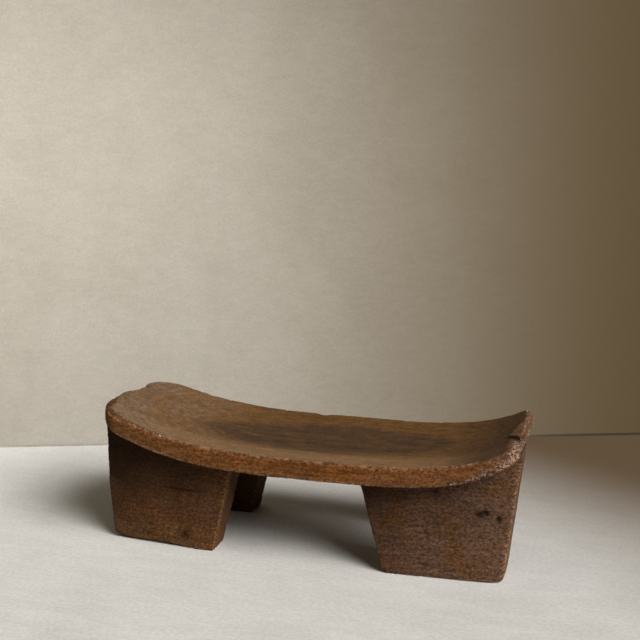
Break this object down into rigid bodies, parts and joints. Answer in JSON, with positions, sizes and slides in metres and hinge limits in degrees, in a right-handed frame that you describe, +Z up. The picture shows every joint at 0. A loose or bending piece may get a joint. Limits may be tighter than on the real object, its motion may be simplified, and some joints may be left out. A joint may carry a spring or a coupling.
{
  "type": "carved wooden headrest",
  "caption": "Shallow oblong wooden dish with upturned ends on four tapered block legs, carved as one piece, for resting the head or sitting low.",
  "frame": {"origin": "on the ground, under the middle of the bounding box", "axes": "+X along the length towards the lower of the two upturned ends, +Y across the seat towards the back legs, +Z up"},
  "size_m": [0.435, 0.176, 0.144],
  "materials": {
    "carved_wood": "hand carved, old handled patina, satin in the dish and dry on the legs"
  },
  "bodies": {
    "root": {"seat": "carved_wood", "leg_front_left": "carved_wood", "leg_front_right": "carved_wood", "leg_back_left": "carved_wood", "leg_back_right": "carved_wood"}
  },
  "joints": []
}
